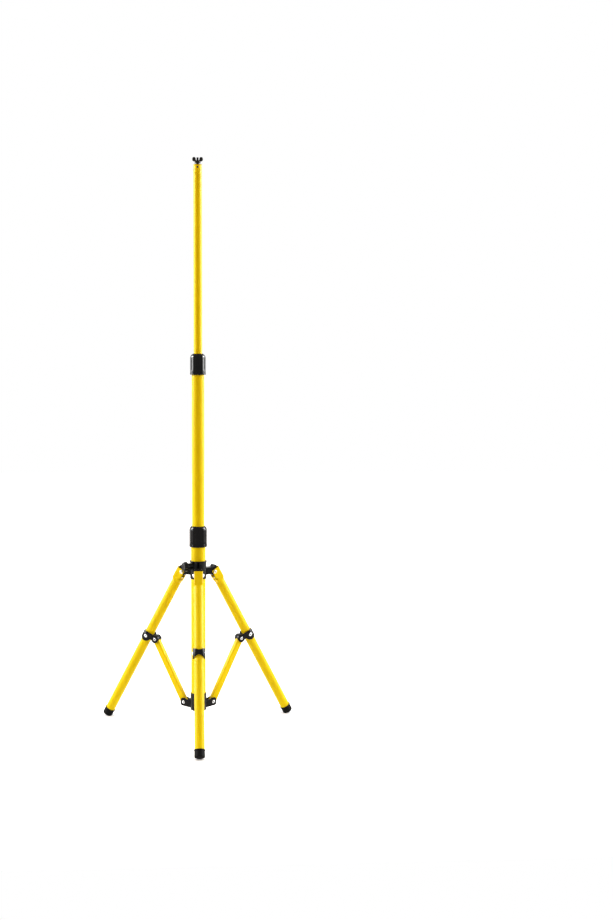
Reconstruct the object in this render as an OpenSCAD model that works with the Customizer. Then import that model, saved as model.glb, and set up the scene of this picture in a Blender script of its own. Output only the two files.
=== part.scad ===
// Telescopic tripod stand for a work light.
// Millimetres. Origin on the mast axis at floor level, +Z up, the front leg towards -Y.

/* [Mast] */

// outside diameter of the lower tube
lower_tube_d = 38; // [36:0.5:40]
// radial thickness of the guide bush between the lower and the middle tube
bush_wall = 1.5; // [1.2:0.1:2]
// outside diameter of the top tube
top_tube_d = 22; // [20:0.5:24]
// wall thickness of the three mast tubes
mast_wall = 1.5; // [1.2:0.1:1.8]
// height of the lower end of the lower tube
lower_tube_z = 52; // [50:1:56]
// height of the lower end of the middle tube at full extension
mid_tube_z = 446; // [444:1:460]
// height of the lower end of the top tube at full extension
top_tube_z = 902; // [900:1:912]
// height of the upper end of the top tube at full extension
top_tube_end_z = 1477; // [1450:1:1500]
// how far a tube end sits above the bottom of the lock on it
tube_in_lock = 30; // [28:0.5:32]
// length of the guide bushes on the lower ends of the sliding tubes
bush_l = 26; // [20:1:30]
// radial running clearance of a sliding fit
slide_gap = 0.08; // [0.05:0.01:0.1]

/* [Twist locks] */

// height of the bottom of the lower lock
lower_lock_z = 488.5; // [487:0.5:491]
// radial thickness of a lock around its tube
lock_wall = 3.2; // [2.9:0.1:4]
// height of the bottom of the upper lock
upper_lock_z = 939.5; // [938:0.5:941]
// height of one lock, sleeve flange and nut together
lock_h = 54.5; // [53:0.5:56]
// height of the plain flange below the nut
lock_flange_h = 6.5; // [6:0.5:7]
// wall thickness of the threaded neck above the flange
lock_neck_wall = 1.4; // [1.2:0.1:1.5]
// height of the rounded shoulder of the nut
lock_shoulder_h = 12; // [10:0.5:13]
// thickness of the roof of the nut above the collet
lock_roof = 4; // [3:0.5:4.5]
// radial width of the flat rim at the top of the nut
lock_land = 0.8; // [0.5:0.1:1.2]
// radial gap between the rim of the nut and the sliding tube
nut_gap = 0.6; // [0.5:0.1:0.8]
// radial thickness of the collet
collet_wall = 2; // [1.6:0.1:2.2]
// radial clearance of the coarse lock thread and other loose gaps
loose_gap = 0.4; // [0.35:0.05:0.45]

/* [Lamp seat] */

// diameter of the lamp stud
stud_d = 6; // [5:0.5:6.5]
// diameter of the bare shoulder that takes the lamp bracket
shoulder_d = 8; // [7.5:0.5:9]
// length of the bare shoulder under the washer
shoulder_l = 2.5; // [2:0.5:3]
// length of the stud above the shoulder
stud_l = 14.5; // [14:0.5:16]
// diameter of the plug flange on the top tube
plug_flange_d = 22.8; // [22.8:0.1:24]
// thickness of the plug flange
plug_flange_h = 1; // [1:0.1:1.5]
// outside diameter of the washer
washer_d = 16.4; // [15:0.2:17]
// thickness of the washer
washer_h = 1.4; // [1.2:0.1:1.6]
// span of the wing nut across both wings
wing_span = 27; // [25:0.5:29]
// height of the wing nut
wing_h = 13.5; // [12:0.5:14]

/* [Hub] */

// height of the bottom of the hub ring
hub_z = 428; // [427:0.5:429]
// height of the hub ring
hub_h = 23.5; // [22:0.5:24]
// radial thickness of the hub ring around the lower tube
hub_wall = 3.25; // [2.5:0.25:4]
// how far the top rim of the hub stands out from its barrel
hub_flare = 1.5; // [1:0.1:1.8]
// height of the flare under that rim
hub_flare_h = 9; // [6:0.5:11]
// distance of the leg hinge from the mast axis
hinge_r = 44.5; // [43.5:0.5:46]
// height of the leg hinge
hinge_z = 419; // [418:0.5:421]
// how far the hub barrel reaches below the leg hinges
hub_skirt = 15.5; // [12:0.5:18]
// thickness of a hub lug between the fork walls of a leg
lug_t = 19; // [17:0.5:19]
// radius of a hub lug around its hinge
lug_r = 10; // [9:0.5:11]
// diameter of the clamp boss
boss_d = 17; // [16:0.5:18]
// reach of the clamp boss beyond the lower tube
boss_l = 12; // [11:0.5:13]
// diameter of the threaded insert in the clamp boss
insert_d = 10; // [9:0.5:11]
// length of the threaded insert
insert_l = 6.5; // [6:0.5:7]
// diameter of the pressure pad
pad_d = 8; // [7:0.5:8]
// thickness of the pressure pad
pad_h = 2.4; // [2:0.1:2.6]
// gap between the loose pressure pad and the lower tube
pad_gap = 0.5; // [0.4:0.1:0.6]
// height of the clamp knob axis
knob_z = 438; // [436:0.5:440]
// diameter of the clamp knob
knob_d = 26; // [24:0.5:27]
// thickness of the clamp knob
knob_h = 13; // [11:0.5:14]
// gap between the clamp boss and the knob
knob_gap = 2; // [1.5:0.5:3]
// how far the screw reaches into the knob
screw_in_knob = 10.9; // [9:0.1:11]

/* [Legs] */

// angle of a leg from the vertical at rest
spread = 29.6; // [28:0.1:31]
// outside diameter of a leg tube
leg_d = 25; // [24:0.5:25.5]
// wall thickness of a leg tube
leg_wall = 1.5; // [1.2:0.1:1.8]
// offset of the leg axis outwards from its hinge pin
leg_offset = 5; // [4:0.5:6]
// outside width of the squared fork at the top of a leg
fork_w = 23; // [22.8:0.1:24]
// wall thickness of the fork
fork_wall = 1.6; // [1.4:0.1:1.6]
// length of the fork above the hinge pin
fork_top = 6; // [5.5:0.5:7]
// length of the fork below the hinge pin
fork_bottom = 21; // [19:0.5:23]
// length of the fork's open inner side below the hinge pin
fork_open = 12; // [11:0.5:14]
// diameter of the hinge and strut pins
pin_d = 6; // [5:0.5:6.5]
// diameter of the rivet and pin heads
head_d = 10.5; // [9:0.5:11]
// thickness of the rivet and pin heads
head_h = 1.8; // [1.4:0.1:2.2]
// height of the domed heads of the hinge pins
hinge_head_h = 4; // [3:0.5:5]
// wall thickness of a foot cap around the leg
foot_wall = 1; // [0.8:0.1:2]
// length of a foot cap
foot_l = 21; // [18:1:24]
// depth of the worn flat on a foot cap
foot_flat = 1.5; // [1:0.1:1.8]

/* [Braces] */

// distance along the leg from its hinge pin to the strut pin
brace_station = 206.8; // [200:0.2:212]
// distance of the strut pin inwards from the line of the hinge pin
brace_inset = 20.5; // [19.5:0.5:21.5]
// how much lower on the leg the bracket rivet sits than the strut pin
rivet_drop = 4.3; // [3.5:0.1:5]
// wall thickness of a leg bracket around the leg
bracket_wall = 2; // [1.5:0.1:3]
// thickness of each bracket cheek beside the strut
pin_cheek = 2; // [1.5:0.1:3]
// wall thickness of a leg bracket around the upper end of its strut
lobe_wall = 1.6; // [1.2:0.1:2.5]
// angle that a strut turns through in its bracket when the legs fold
strut_swing = 36; // [35:0.5:38]
// diameter of the rivet through bracket and leg
bracket_rivet_d = 5; // [4:0.5:5]
// width of a strut in the plane of its leg
strut_w = 17; // [15:0.5:18]
// thickness of a strut across that plane
strut_t = 12; // [10:0.5:12.5]
// sheet thickness of a strut channel
strut_wall = 1.4; // [1.2:0.1:1.6]
// length of the slot in the lower end of a strut, between end positions of the pin
slot_travel = 4.6; // [4.5:0.1:5.5]
// how far the slot leans towards the mast over that length
slot_shift = 1.3; // [1.2:0.1:1.4]
// distance of the runner pin from the mast axis
runner_pin_r = 41; // [40:0.5:42]
// height of the runner pin
runner_pin_z = 68; // [67:0.5:69]
// height of the bottom of the runner collar
runner_z = 51.5; // [50:0.5:52]
// height of the runner collar
runner_h = 46; // [44:0.5:48]
// radial thickness of the runner collar around the lower tube
runner_wall = 2; // [1.5:0.1:3]
// thickness of a runner ear
ear_t = 2.6; // [2.2:0.1:3]
// side gap of a strut in its forks
strut_gap = 0.4; // [0.35:0.05:0.5]

/* [Hidden] */

$fn = 64;
az = [-90, 150, 30];
knob_az = 210;
yellow = [0.96, 0.74, 0.02];
black = [0.05, 0.05, 0.055];
steel = [0.75, 0.76, 0.78];
brass = [0.75, 0.6, 0.25];
rubber = [0.06, 0.06, 0.06];
mid_tube_d = lower_tube_d - 2 * (mast_wall + bush_wall);
lower_lock_d = lower_tube_d + 2 * lock_wall;
upper_lock_d = mid_tube_d + 2 * lock_wall;
hub_d = lower_tube_d + 2 * hub_wall;
runner_d = lower_tube_d + 2 * runner_wall;
foot_d = leg_d + 2 * foot_wall;
bracket_w = leg_d + 2 * bracket_wall;
pin_w = strut_t + 2 * (strut_gap + pin_cheek);
lobe_r = strut_w / 2 + loose_gap + lobe_wall;
lock_neck_h = lock_h - lock_shoulder_h + 0.5;
nut_cone_h = lock_shoulder_h - lock_roof - 2;
boss_r = lower_tube_d / 2 + boss_l;
knob_r = boss_r + knob_gap;
screw_r = lower_tube_d / 2 + pad_gap + pad_h;
lower_tube_end_z = lower_lock_z + tube_in_lock;
mid_tube_end_z = upper_lock_z + tube_in_lock;
lower_bore_d = lower_tube_d - 2 * mast_wall;
mid_bore_d = mid_tube_d - 2 * mast_wall;
top_bore_d = top_tube_d - 2 * mast_wall;
plug_top_z = top_tube_end_z + plug_flange_h;
washer_z = plug_top_z + shoulder_l;
nut_z = washer_z + washer_h;
rivet_station = brace_station + rivet_drop;
foot_r = foot_d / 2;
leg_l = (hinge_z + (leg_offset - foot_r) * sin(spread) + foot_flat) / cos(spread);
brace_r = hinge_r + brace_station * sin(spread) - brace_inset * cos(spread);
brace_z = hinge_z - brace_station * cos(spread) - brace_inset * sin(spread);
strut_l = norm([brace_r - runner_pin_r, brace_z - runner_pin_z]);
strut_lean = atan2(brace_r - runner_pin_r, brace_z - runner_pin_z);
fork_gap = fork_w - 2 * fork_wall;
pin_bore_d = pin_d + 2 * slide_gap;
slot_d = pin_d + 2 * loose_gap;
far = 400;

// Straight tube along Z from z0 to z1.
module tube_z(d_out, d_in, z0, z1) {
  difference() {
    translate([0, 0, z0]) cylinder(d = d_out, h = z1 - z0);
    translate([0, 0, z0 - 1]) cylinder(d = d_in, h = z1 - z0 + 2);
  }
}

// Frame of leg k: origin on its hinge pin, -Z down the leg, +X outwards.
module at_leg(k) {
  rotate([0, 0, az[k]]) translate([hinge_r, 0, hinge_z]) rotate([0, -spread, 0]) children();
}

// Frame of strut k: origin on its strut pin, -Z down the strut.
module at_strut(k) {
  rotate([0, 0, az[k]]) translate([brace_r, 0, brace_z]) rotate([0, strut_lean, 0]) children();
}

// Frame of the clamp: origin on the mast axis at the knob's height, +Z out along the screw.
module at_clamp() {
  translate([0, 0, knob_z]) rotate([0, 0, knob_az]) rotate([0, 90, 0]) children();
}

// Round bar along Y, centred.
module bar_y(d, l) {
  rotate([90, 0, 0]) cylinder(d = d, h = l, center = true);
}

// Pin along Y with a coned head at both ends of its grip length.
module headed_pin(d, grip, h) {
  bar_y(d, grip);
  for (s = [-1, 1])
    translate([0, s * grip / 2, 0]) rotate([-90 * s, 0, 0])
      cylinder(d1 = head_d, d2 = head_d * 0.62, h = h);
}

// Lower mast tube, steel.
module lower_tube() {
  color(yellow) tube_z(lower_tube_d, lower_bore_d, lower_tube_z, lower_tube_end_z);
}

// Plastic plug pressed into the bottom of the lower tube.
module mast_end_plug() {
  color(black) {
    translate([0, 0, lower_tube_z - 1.5]) cylinder(d = lower_tube_d - 0.6, h = 1.5);
    translate([0, 0, lower_tube_z]) cylinder(d = lower_bore_d, h = 5);
  }
}

// Side outline of a runner ear, radius along X and height along Y.
module ear_outline() {
  corner = 6;
  bottom = runner_pin_z - 11.5;
  high = 23.5;
  root = lower_tube_d / 2 - 1;
  end = runner_pin_r + 8.5;
  translate([root, bottom]) square([end - corner - root, high]);
  translate([end - corner - 1, bottom + corner]) square([corner + 1, high - 2 * corner]);
  for (h = [corner, high - corner]) translate([end - corner, bottom + h]) circle(corner);
}

// Collar fixed on the bottom of the lower tube, with a pair of ears for each strut.
module runner() {
  color(black) difference() {
    union() {
      translate([0, 0, runner_z]) cylinder(d = runner_d, h = runner_h);
      for (a = az)
        for (s = [-1, 1])
          rotate([0, 0, a]) translate([0, s * (strut_t / 2 + strut_gap + ear_t / 2), 0])
            rotate([90, 0, 0]) linear_extrude(ear_t, center = true) ear_outline();
    }
    translate([0, 0, runner_z - 5]) cylinder(d = lower_tube_d, h = runner_h + 10);
    for (a = az)
      rotate([0, 0, a]) translate([runner_pin_r, 0, runner_pin_z]) bar_y(pin_d, 60);
  }
}

// Rivet through a pair of runner ears.
module runner_pin(k) {
  color(steel) rotate([0, 0, az[k]]) translate([runner_pin_r, 0, runner_pin_z])
    headed_pin(pin_d, strut_t + 2 * strut_gap + 2 * ear_t, head_h);
}
module runner_pin_1() { runner_pin(0); }
module runner_pin_2() { runner_pin(1); }
module runner_pin_3() { runner_pin(2); }

// Bore radius of a lock nut around the neck of its sleeve, and at the top of its cone.
function nut_bore_r(tube_d) = tube_d / 2 + lock_neck_wall + loose_gap;
function nut_cone_r(inner_d) = inner_d / 2 + collet_wall + loose_gap;

// Fixed part of a twist lock: plain flange, threaded neck, guide bore and collet seat.
module lock_sleeve(z, lock_d, tube_d, inner_d) {
  neck_d = tube_d + 2 * lock_neck_wall;
  color(black) difference() {
    union() {
      translate([0, 0, z]) cylinder(d = lock_d, h = lock_flange_h);
      translate([0, 0, z]) cylinder(d = neck_d, h = lock_neck_h);
    }
    translate([0, 0, z - 1]) cylinder(d = tube_d, h = tube_in_lock + 1);
    translate([0, 0, z]) cylinder(d = inner_d + 2 * slide_gap, h = lock_h);
    translate([0, 0, z + tube_in_lock + 4]) cylinder(d = inner_d + 2 * collet_wall + 1, h = lock_h);
  }
}

// Split ring that the nut presses around the sliding tube.
module collet(z, tube_d, inner_d) {
  z_low = z + tube_in_lock + 5.5;
  z_top = z + lock_h - lock_roof;
  r = inner_d / 2 + collet_wall;
  swell = (nut_bore_r(tube_d) - nut_cone_r(inner_d)) / 2;
  color(black) difference() {
    union() {
      translate([0, 0, z_low]) cylinder(r = r, h = z_top - z_low);
      translate([0, 0, z_top - nut_cone_h / 2]) cylinder(r1 = r + swell, r2 = r, h = nut_cone_h / 2);
    }
    translate([0, 0, z_low - 1]) cylinder(d = inner_d + 2 * slide_gap, h = z_top - z_low + 2);
    translate([0, -0.8, z_low - 1]) cube([tube_d, 1.6, z_top - z_low + 2]);
  }
}

// Twist nut of a lock.
module lock_nut(z, lock_d, tube_d, inner_d) {
  z0 = z + lock_flange_h + loose_gap;
  z1 = z + lock_h;
  shoulder_z = z1 - lock_shoulder_h;
  roof_z = z1 - lock_roof;
  bore_r = nut_bore_r(tube_d);
  open_r = inner_d / 2 + nut_gap;
  fall = lock_d / 2 - open_r - lock_land;
  shoulder_r = (fall * fall + lock_shoulder_h * lock_shoulder_h) / (2 * fall);
  color(black) rotate_extrude() difference() {
    union() {
      translate([0, z0]) square([lock_d / 2, shoulder_z - z0]);
      intersection() {
        translate([lock_d / 2 - shoulder_r, shoulder_z]) circle(shoulder_r);
        translate([0, shoulder_z]) square([lock_d / 2, lock_shoulder_h]);
      }
    }
    polygon([
      [0, z0 - 1], [bore_r, z0 - 1], [bore_r, roof_z - nut_cone_h], [nut_cone_r(inner_d), roof_z],
      [open_r, roof_z], [open_r, z1 + 1], [0, z1 + 1]
    ]);
  }
}

module lower_lock_sleeve() { lock_sleeve(lower_lock_z, lower_lock_d, lower_tube_d, mid_tube_d); }
module lower_collet() { collet(lower_lock_z, lower_tube_d, mid_tube_d); }
module lower_lock_nut() { lock_nut(lower_lock_z, lower_lock_d, lower_tube_d, mid_tube_d); }
module upper_lock_sleeve() { lock_sleeve(upper_lock_z, upper_lock_d, mid_tube_d, top_tube_d); }
module upper_collet() { collet(upper_lock_z, mid_tube_d, top_tube_d); }
module upper_lock_nut() { lock_nut(upper_lock_z, upper_lock_d, mid_tube_d, top_tube_d); }

// Guide bush on the bottom of the middle tube, running in the lower tube.
module mid_bush() {
  z = mid_tube_z;
  color(black) difference() {
    translate([0, 0, z - 2]) cylinder(d = lower_bore_d - 2 * slide_gap, h = bush_l);
    translate([0, 0, z]) cylinder(d = mid_tube_d + 2 * slide_gap, h = bush_l);
    translate([0, 0, z - 3]) cylinder(d = mid_bore_d, h = bush_l);
  }
}

// Middle mast tube, steel.
module mid_tube() {
  color(yellow) tube_z(mid_tube_d, mid_bore_d, mid_tube_z + 0.1, mid_tube_end_z);
}

// Guide bush on the bottom of the top tube, running in the middle tube.
module top_bush() {
  z = top_tube_z;
  color(black) difference() {
    translate([0, 0, z - 2]) cylinder(d = mid_bore_d - 2 * slide_gap, h = bush_l);
    translate([0, 0, z]) cylinder(d = top_tube_d + 2 * slide_gap, h = bush_l);
    translate([0, 0, z - 3]) cylinder(d = top_bore_d, h = bush_l);
  }
}

// Top mast tube, steel.
module top_tube() {
  color(yellow) difference() {
    tube_z(top_tube_d, top_bore_d, top_tube_z + 0.1, top_tube_end_z);
    translate([0, 0, top_tube_end_z - 7]) rotate([90, 0, 0]) cylinder(d = 3.4, h = top_tube_d);
  }
}

// Plug pressed into the top tube, with the flange the lamp bracket rests on.
module top_plug() {
  color(black) difference() {
    union() {
      translate([0, 0, top_tube_end_z - 22]) cylinder(d = top_bore_d, h = 22.5);
      translate([0, 0, top_tube_end_z]) cylinder(d = plug_flange_d, h = plug_flange_h);
    }
    translate([0, 0, top_tube_end_z - 15]) cylinder(d = stud_d, h = 30);
    translate([0, 0, top_tube_end_z - 7]) rotate([90, 0, 0]) cylinder(d = 3.4, h = top_tube_d);
  }
}

// Small rivet that pins the plug in the top tube, its head to the front.
module plug_rivet() {
  color(steel) translate([0, 0, top_tube_end_z - 7]) rotate([90, 0, 0]) {
    translate([0, 0, stud_d / 2 + 0.5]) cylinder(d = 3.4, h = top_tube_d / 2 - stud_d / 2 - 0.5);
    translate([0, 0, top_tube_d / 2]) cylinder(d1 = 5, d2 = 3, h = 1);
  }
}

// Threaded stud of the lamp seat with its bare shoulder.
module lamp_stud() {
  color(steel) {
    translate([0, 0, top_tube_end_z - 15])
      cylinder(d = stud_d, h = 15 + plug_flange_h + shoulder_l + stud_l);
    translate([0, 0, plug_top_z]) cylinder(d = shoulder_d, h = shoulder_l);
  }
}

// Loose washer under the wing nut.
module lamp_washer() {
  color(steel) tube_z(washer_d, stud_d + 2 * loose_gap, washer_z, nut_z);
}

// Wing nut: round base, neck and two upright wings along X.
module wing_nut() {
  lobe = 5.2;
  color(steel) difference() {
    union() {
      translate([0, 0, nut_z]) cylinder(d = washer_d - 1, h = 2.2);
      translate([0, 0, nut_z]) cylinder(d1 = washer_d - 3, d2 = 11.5, h = 6);
      for (s = [-1, 1])
        translate([0, 0, nut_z]) rotate([90, 0, 0]) linear_extrude(3.2, center = true) {
          translate([s * (wing_span / 2 - lobe), wing_h - lobe]) circle(lobe);
          polygon([[s * 3.6, 1], [s * 7, 2.2], [s * 11.6, wing_h - 9], [s * 5, wing_h - 4.5], [s * 3.6, 5.5]]);
        }
    }
    translate([0, 0, nut_z - 1]) cylinder(d = stud_d + 2 * loose_gap, h = wing_h + 5);
  }
}

// Side outline of a hub lug, radius along X and height along Y.
module lug_outline() {
  translate([hinge_r, hinge_z]) circle(lug_r);
  polygon([
    [lower_tube_d / 2, hinge_z - 6], [hinge_r - 8, hinge_z - 6], [hinge_r + 4, hinge_z - 8],
    [hinge_r + 9, hinge_z + 3], [hinge_r + 5.5, hinge_z + 18], [hinge_r - 0.5, hinge_z + 18],
    [hinge_r - 3.5, hinge_z + 12.5], [lower_tube_d / 2, hinge_z + 12.5]
  ]);
}

// Sliding hub: ring, a lug for each leg and the boss of the clamp.
module hub() {
  color(black) difference() {
    union() {
      translate([0, 0, hinge_z - hub_skirt])
        cylinder(d = hub_d - 2 * hub_flare, h = hub_z + hub_h - hinge_z + hub_skirt);
      translate([0, 0, hub_z + hub_h - hub_flare_h - 2])
        cylinder(d1 = hub_d - 2 * hub_flare, d2 = hub_d, h = hub_flare_h);
      translate([0, 0, hub_z + hub_h - 2]) cylinder(d = hub_d, h = 2);
      for (a = az)
        rotate([0, 0, a]) rotate([90, 0, 0]) linear_extrude(lug_t, center = true) lug_outline();
      at_clamp() cylinder(d = boss_d, h = boss_r);
    }
    translate([0, 0, hinge_z - hub_skirt - lug_r]) cylinder(d = lower_tube_d + 2 * slide_gap, h = far);
    translate([0, 0, hub_z + hub_h]) cylinder(r = hinge_r + 2 * lug_r, h = 3 * lug_r);
    for (a = az)
      rotate([0, 0, a]) translate([hinge_r, 0, hinge_z]) bar_y(pin_bore_d, 60);
    at_clamp() cylinder(d = pad_d + 2 * slide_gap, h = boss_r - insert_l);
    at_clamp() translate([0, 0, boss_r - insert_l]) cylinder(d = insert_d, h = 2 * insert_l);
  }
}

// Threaded brass insert in the clamp boss.
module hub_insert() {
  color(brass) at_clamp() difference() {
    translate([0, 0, boss_r - insert_l]) cylinder(d = insert_d, h = insert_l);
    translate([0, 0, boss_r - 2 * insert_l]) cylinder(d = pin_d + 2 * loose_gap, h = 3 * insert_l);
  }
}

// Pressure pad on the tip of the clamp screw.
module clamp_pad() {
  color(black) at_clamp() translate([0, 0, lower_tube_d / 2 + pad_gap]) cylinder(d = pad_d, h = pad_h);
}

// Threaded shank of the clamp screw.
module clamp_screw() {
  color(steel) at_clamp() translate([0, 0, screw_r]) cylinder(d = pin_d, h = knob_r + screw_in_knob - screw_r);
}

// Round clamp knob moulded on the screw.
module clamp_knob() {
  color(black) at_clamp() difference() {
    union() {
      translate([0, 0, knob_r]) cylinder(d = knob_d, h = knob_h - 2);
      translate([0, 0, knob_r + knob_h - 2]) cylinder(d1 = knob_d, d2 = knob_d - 4, h = 2);
    }
    translate([0, 0, screw_r]) cylinder(d = pin_d, h = knob_r + screw_in_knob - screw_r);
  }
}

// Leg tube with its squared fork at the top.
module leg(k) {
  color(yellow) at_leg(k) difference() {
    union() {
      translate([leg_offset, 0, -leg_l + 3]) cylinder(d = leg_d, h = leg_l - 3 - fork_bottom + 4);
      difference() {
        translate([leg_offset - leg_d / 2, -fork_w / 2, -fork_bottom])
          cube([leg_d, fork_w, fork_bottom + fork_top]);
        translate([leg_offset - leg_d / 2 + fork_wall, -fork_gap / 2, -fork_bottom + 1])
          cube([leg_d - 2 * fork_wall, fork_gap, fork_bottom + fork_top + 10]);
        translate([leg_offset - leg_d / 2 - 1, -fork_gap / 2, -fork_open])
          cube([leg_d / 2, fork_gap, fork_open + fork_top + 10]);
      }
    }
    translate([leg_offset, 0, -leg_l]) cylinder(d = leg_d - 2 * leg_wall, h = leg_l - fork_bottom + 8);
    bar_y(pin_d, 60);
    translate([leg_offset, 0, -rivet_station]) bar_y(bracket_rivet_d, 60);
  }
}
module leg_1() { leg(0); }
module leg_2() { leg(1); }
module leg_3() { leg(2); }

// Rubber cap on the foot of a leg, worn flat where it meets the floor.
module foot(k) {
  color(rubber) difference() {
    at_leg(k) translate([leg_offset, 0, -leg_l]) difference() {
      union() {
        cylinder(d = foot_d, h = foot_l);
        translate([0, 0, foot_l - 3]) cylinder(d = foot_d + 0.8, h = 2);
      }
      translate([0, 0, 3]) cylinder(d = leg_d, h = foot_l);
    }
    translate([-far, -far, -20]) cube([2 * far, 2 * far, 20]);
  }
}
module foot_1() { foot(0); }
module foot_2() { foot(1); }
module foot_3() { foot(2); }

// Side outline of a leg bracket, outwards along X and up the leg along Y.
module bracket_outline() {
  translate([-brace_inset, -brace_station]) circle(lobe_r);
  translate([leg_offset, -rivet_station]) circle(bracket_w / 2 - 0.6);
  translate([leg_offset - 12, -rivet_station]) square([12 + bracket_w / 2 - 0.6, 13]);
  translate([-brace_inset, -rivet_station - 4]) square([brace_inset + leg_offset, 15]);
}

// Plan of a leg bracket: as wide as its wall around the leg, drawn in to the strut at the pin.
module bracket_plan() {
  wide_x = leg_offset - 2;
  narrow_x = lobe_r - brace_inset - 1;
  polygon([
    [-brace_inset - 2 * lobe_r, -pin_w / 2], [narrow_x, -pin_w / 2], [wide_x, -bracket_w / 2],
    [leg_offset + bracket_w, -bracket_w / 2], [leg_offset + bracket_w, bracket_w / 2],
    [wide_x, bracket_w / 2], [narrow_x, pin_w / 2], [-brace_inset - 2 * lobe_r, pin_w / 2]
  ]);
}

// Room in a bracket for the strut, from its place at rest to where the folded legs turn it.
module strut_room() {
  room_r = lobe_r - lobe_wall;
  reach = 3 * lobe_r;
  rest = spread + strut_lean;
  fold = rest - strut_swing;
  circle(room_r);
  for (a = [rest, fold])
    rotate(-a) translate([-room_r + 0.15, -reach]) square([2 * room_r - 0.3, reach]);
  polygon([[0, 0], [-reach * sin(rest), -reach * cos(rest)], [-reach * sin(fold), -reach * cos(fold)]]);
}

// Bracket riveted around a leg, with a hood over the upper end of the strut.
module bracket(k) {
  cut_r = 14;
  color(black) at_leg(k) difference() {
    intersection() {
      rotate([90, 0, 0]) linear_extrude(2 * bracket_w, center = true) bracket_outline();
      translate([0, 0, -rivet_station - 40]) linear_extrude(80) bracket_plan();
    }
    translate([leg_offset, 0, -rivet_station - 40]) cylinder(d = leg_d, h = 80);
    translate([-brace_inset, 0, -brace_station]) rotate([90, 0, 0])
      linear_extrude(strut_t + 2 * strut_gap, center = true) strut_room();
    for (s = [-1, 1])
      translate([leg_offset + 4, 0, -rivet_station + s * (6.5 + cut_r)]) rotate([0, 90, 0])
        cylinder(r = cut_r, h = 40);
    translate([-brace_inset, 0, -brace_station]) bar_y(pin_d, 60);
    translate([leg_offset, 0, -rivet_station]) bar_y(bracket_rivet_d, 60);
  }
}
module bracket_1() { bracket(0); }
module bracket_2() { bracket(1); }
module bracket_3() { bracket(2); }

// Rivet that hinges a leg on its lug.
module hinge_pin(k) {
  color(steel) at_leg(k) headed_pin(pin_d, fork_w, hinge_head_h);
}
module hinge_pin_1() { hinge_pin(0); }
module hinge_pin_2() { hinge_pin(1); }
module hinge_pin_3() { hinge_pin(2); }

// Rivet through a bracket and its leg.
module bracket_rivet(k) {
  color(steel) at_leg(k) translate([leg_offset, 0, -rivet_station])
    headed_pin(bracket_rivet_d, bracket_w, head_h);
}
module bracket_rivet_1() { bracket_rivet(0); }
module bracket_rivet_2() { bracket_rivet(1); }
module bracket_rivet_3() { bracket_rivet(2); }

// Rivet that hinges a strut in its bracket.
module strut_pin(k) {
  color(steel) at_leg(k) translate([-brace_inset, 0, -brace_station]) headed_pin(pin_d, pin_w, head_h);
}
module strut_pin_1() { strut_pin(0); }
module strut_pin_2() { strut_pin(1); }
module strut_pin_3() { strut_pin(2); }

// Strut folded from sheet into a channel, pinned at the top and slotted at the bottom.
module strut(k) {
  color(yellow) at_strut(k) difference() {
    rotate([90, 0, 0]) linear_extrude(strut_t, center = true) {
      circle(d = strut_w);
      translate([0, -strut_l]) circle(d = strut_w);
      translate([-strut_w / 2, -strut_l]) square([strut_w, strut_l]);
    }
    translate([-strut_w / 2 + strut_wall, -strut_t / 2 + strut_wall, -strut_l - 20])
      cube([strut_w, strut_t - 2 * strut_wall, strut_l + 40]);
    bar_y(pin_bore_d, 60);
    translate([0, 0, -strut_l]) bar_y(slot_d, 60);
    translate([-slot_shift, 0, -strut_l + slot_travel]) bar_y(slot_d, 60);
    translate([0, 0, -strut_l]) rotate([0, -atan2(slot_shift, slot_travel), 0])
      translate([-slot_d / 2, -30, 0]) cube([slot_d, 60, norm([slot_shift, slot_travel])]);
  }
}
module strut_1() { strut(0); }
module strut_2() { strut(1); }
module strut_3() { strut(2); }

lower_tube();
mast_end_plug();
runner();
runner_pin_1();
runner_pin_2();
runner_pin_3();
lower_lock_sleeve();
lower_collet();
lower_lock_nut();
mid_bush();
mid_tube();
upper_lock_sleeve();
upper_collet();
upper_lock_nut();
top_bush();
top_tube();
top_plug();
plug_rivet();
lamp_stud();
lamp_washer();
wing_nut();
hub();
hub_insert();
clamp_pad();
clamp_screw();
clamp_knob();
leg_1();
foot_1();
bracket_1();
hinge_pin_1();
bracket_rivet_1();
strut_pin_1();
strut_1();
leg_2();
foot_2();
bracket_2();
hinge_pin_2();
bracket_rivet_2();
strut_pin_2();
strut_2();
leg_3();
foot_3();
bracket_3();
hinge_pin_3();
bracket_rivet_3();
strut_pin_3();
strut_3();
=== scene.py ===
import bmesh
import bpy
import numpy as np
from mathutils import Matrix


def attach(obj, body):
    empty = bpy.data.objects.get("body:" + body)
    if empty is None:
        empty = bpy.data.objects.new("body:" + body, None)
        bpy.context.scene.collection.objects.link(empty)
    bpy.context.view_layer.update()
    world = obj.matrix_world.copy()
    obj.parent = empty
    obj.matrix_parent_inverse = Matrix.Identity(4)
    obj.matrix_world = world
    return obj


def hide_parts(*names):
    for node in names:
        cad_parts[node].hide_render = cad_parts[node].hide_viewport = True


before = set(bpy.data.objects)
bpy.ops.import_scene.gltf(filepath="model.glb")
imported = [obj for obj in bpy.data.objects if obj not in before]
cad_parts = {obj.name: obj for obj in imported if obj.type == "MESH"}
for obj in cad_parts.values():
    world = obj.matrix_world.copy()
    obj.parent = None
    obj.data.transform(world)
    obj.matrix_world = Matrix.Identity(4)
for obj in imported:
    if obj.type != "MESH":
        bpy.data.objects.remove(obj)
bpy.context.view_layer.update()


# The view. The camera stands four metres in front of the stand, at the height of the middle tube,
# turned a little to the right and looking slightly down. The 920 lines of the picture fill its sensor.
view_place = np.array([-0.0377, -4.0118, 1.1379])
view_turn, view_dip, view_roll = np.radians([4.583, 5.984, 0.32])
view_lens, view_sensor = 60.329, 36.0
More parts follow.
